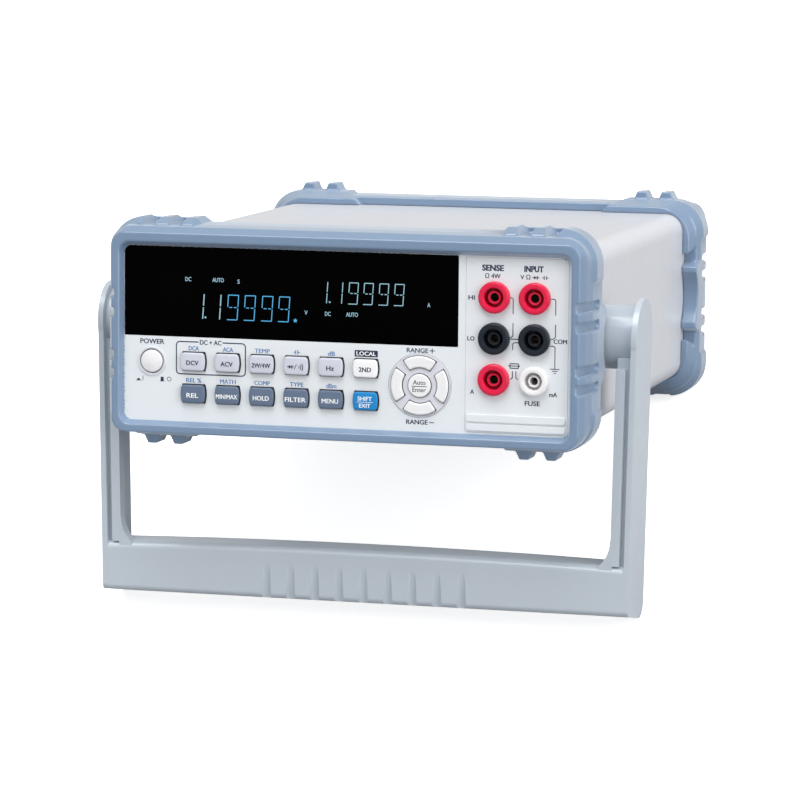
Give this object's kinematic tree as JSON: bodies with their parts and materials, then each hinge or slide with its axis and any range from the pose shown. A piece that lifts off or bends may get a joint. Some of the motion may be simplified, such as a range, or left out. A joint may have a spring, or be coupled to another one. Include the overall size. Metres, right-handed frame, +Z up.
{
  "type": "bench multimeter",
  "caption": "Bench multimeter in rubber end bumpers, standing tilted on its swing handle, with banana input jacks, function keys and a lit dual display.",
  "frame": {"origin": "middle of the base of the standing instrument, on the table", "axes": "+X to the instrument's right as seen from its front, +Y towards its back, +Z up"},
  "size_m": [0.265, 0.3152, 0.1948],
  "materials": {
    "bumper_rubber": "satin soft-touch moulding",
    "case_paint": "satin powder coat",
    "plated_steel": "bright zinc",
    "panel_plastic": "fine matt texture",
    "window_glass": "polished, nearly black",
    "window_clear": "clear",
    "mat_rubber": "matt silicone",
    "board_laminate": "solder mask",
    "lamination_steel": "varnished laminations",
    "copper_winding": "enamelled wire under tape",
    "dark_plastic": "matt moulding",
    "aluminium": "extruded",
    "rear_metal": "satin paint",
    "contact_brass": "gold-plated contact",
    "jack_red": "semi-gloss moulding",
    "jack_black": "semi-gloss moulding",
    "jack_white": "semi-gloss moulding",
    "key_white": "satin",
    "key_light": "satin",
    "key_slate": "satin",
    "key_blue": "satin",
    "nav_grey": "satin",
    "handle_plastic": "fine matt texture"
  },
  "bodies": {
    "instrument": {"front_bumper": "bumper_rubber", "rear_bumper": "bumper_rubber", "case_sleeve": "case_paint", "chassis_tray": "plated_steel", "front_panel": "panel_plastic", "terminal_panel": "panel_plastic", "display_window": "window_glass", "display_module": "window_glass", "key_mat": "mat_rubber", "front_board": "board_laminate", "main_board": "board_laminate", "transformer_core": "lamination_steel", "transformer_coil": "copper_winding", "supply_capacitors": "dark_plastic", "relays": "key_white", "shield_can": "plated_steel", "heat_sink": "aluminium", "rear_panel": "rear_metal", "mains_inlet": "dark_plastic", "inlet_pins": "contact_brass", "serial_port": "plated_steel", "usb_port": "plated_steel", "jacks_red": "jack_red", "jacks_black": "jack_black", "jack_sockets": "contact_brass", "jack_nuts": "plated_steel", "fuse_holder": "dark_plastic", "power_switch": "dark_plastic", "nav_bezel": "nav_grey", "pivot_mounts": "handle_plastic", "pivot_pins": "plated_steel", "chassis_screws": "plated_steel", "rear_screws": "plated_steel"},
    "handle": {"handle_arm_left": "handle_plastic", "handle_arm_right": "handle_plastic", "handle_grip": "handle_plastic"},
    "power_button": {"power_button": "key_white", "power_rod": "dark_plastic"},
    "input_fuse_cap": {"fuse_cap": "jack_white", "input_fuse": "window_clear"},
    "fuse_drawer": {"fuse_drawer": "dark_plastic", "mains_fuse": "window_clear"},
    "nav_up": {"nav_up": "key_white"},
    "nav_right": {"nav_right": "key_white"},
    "nav_down": {"nav_down": "key_white"},
    "nav_left": {"nav_left": "key_white"},
    "nav_enter": {"nav_enter": "key_white"},
    "key_top_1": {"key_top_1": "key_light"},
    "key_top_2": {"key_top_2": "key_light"},
    "key_top_3": {"key_top_3": "key_light"},
    "key_top_4": {"key_top_4": "key_light"},
    "key_top_5": {"key_top_5": "key_light"},
    "key_top_6": {"key_top_6": "key_white"},
    "key_low_1": {"key_low_1": "key_slate"},
    "key_low_2": {"key_low_2": "key_slate"},
    "key_low_3": {"key_low_3": "key_slate"},
    "key_low_4": {"key_low_4": "key_slate"},
    "key_low_5": {"key_low_5": "key_slate"},
    "key_low_6": {"key_low_6": "key_blue"}
  },
  "joints": [
    {"name": "handle_swing", "type": "hinge", "parent": "instrument", "child": "handle", "pos_m": [0, -0.09062, 0.13081], "axis": [1, 0, 0], "range_deg": [-230, 30]},
    {"name": "key_top_1_press", "type": "slide", "parent": "instrument", "child": "key_top_1", "axis": [0, 0.9401, -0.3408], "range_m": [0, 0.0012], "stiffness_N_per_m": 800},
    {"name": "key_top_2_press", "type": "slide", "parent": "instrument", "child": "key_top_2", "axis": [0, 0.9401, -0.3408], "range_m": [0, 0.0012], "stiffness_N_per_m": 800},
    {"name": "key_top_3_press", "type": "slide", "parent": "instrument", "child": "key_top_3", "axis": [0, 0.9401, -0.3408], "range_m": [0, 0.0012], "stiffness_N_per_m": 800},
    {"name": "key_top_4_press", "type": "slide", "parent": "instrument", "child": "key_top_4", "axis": [0, 0.9401, -0.3408], "range_m": [0, 0.0012], "stiffness_N_per_m": 800},
    {"name": "key_top_5_press", "type": "slide", "parent": "instrument", "child": "key_top_5", "axis": [0, 0.9401, -0.3408], "range_m": [0, 0.0012], "stiffness_N_per_m": 800},
    {"name": "key_top_6_press", "type": "slide", "parent": "instrument", "child": "key_top_6", "axis": [0, 0.9401, -0.3408], "range_m": [0, 0.0012], "stiffness_N_per_m": 800},
    {"name": "key_low_1_press", "type": "slide", "parent": "instrument", "child": "key_low_1", "axis": [0, 0.9401, -0.3408], "range_m": [0, 0.0012], "stiffness_N_per_m": 800},
    {"name": "key_low_2_press", "type": "slide", "parent": "instrument", "child": "key_low_2", "axis": [0, 0.9401, -0.3408], "range_m": [0, 0.0012], "stiffness_N_per_m": 800},
    {"name": "key_low_3_press", "type": "slide", "parent": "instrument", "child": "key_low_3", "axis": [0, 0.9401, -0.3408], "range_m": [0, 0.0012], "stiffness_N_per_m": 800},
    {"name": "key_low_4_press", "type": "slide", "parent": "instrument", "child": "key_low_4", "axis": [0, 0.9401, -0.3408], "range_m": [0, 0.0012], "stiffness_N_per_m": 800},
    {"name": "key_low_5_press", "type": "slide", "parent": "instrument", "child": "key_low_5", "axis": [0, 0.9401, -0.3408], "range_m": [0, 0.0012], "stiffness_N_per_m": 800},
    {"name": "key_low_6_press", "type": "slide", "parent": "instrument", "child": "key_low_6", "axis": [0, 0.9401, -0.3408], "range_m": [0, 0.0012], "stiffness_N_per_m": 800},
    {"name": "nav_up_press", "type": "slide", "parent": "instrument", "child": "nav_up", "axis": [0, 0.9401, -0.3408], "range_m": [0, 0.0012], "stiffness_N_per_m": 800},
    {"name": "nav_right_press", "type": "slide", "parent": "instrument", "child": "nav_right", "axis": [0, 0.9401, -0.3408], "range_m": [0, 0.0012], "stiffness_N_per_m": 800},
    {"name": "nav_down_press", "type": "slide", "parent": "instrument", "child": "nav_down", "axis": [0, 0.9401, -0.3408], "range_m": [0, 0.0012], "stiffness_N_per_m": 800},
    {"name": "nav_left_press", "type": "slide", "parent": "instrument", "child": "nav_left", "axis": [0, 0.9401, -0.3408], "range_m": [0, 0.0012], "stiffness_N_per_m": 800},
    {"name": "nav_enter_press", "type": "slide", "parent": "instrument", "child": "nav_enter", "axis": [0, 0.9401, -0.3408], "range_m": [0, 0.0012], "stiffness_N_per_m": 800},
    {"name": "power_release", "type": "slide", "parent": "instrument", "child": "power_button", "axis": [0, -0.9401, 0.3408], "range_m": [0, 0.003]},
    {"name": "fuse_cap_turn", "type": "hinge", "parent": "instrument", "child": "input_fuse_cap", "pos_m": [0.09115, -0.14319, 0.13249], "axis": [0, -0.9401, 0.3408], "range_deg": [0, 60]},
    {"name": "fuse_drawer_slide", "type": "slide", "parent": "instrument", "child": "fuse_drawer", "axis": [0, 0.9401, -0.3408], "range_m": [0, 0.022]}
  ]
}
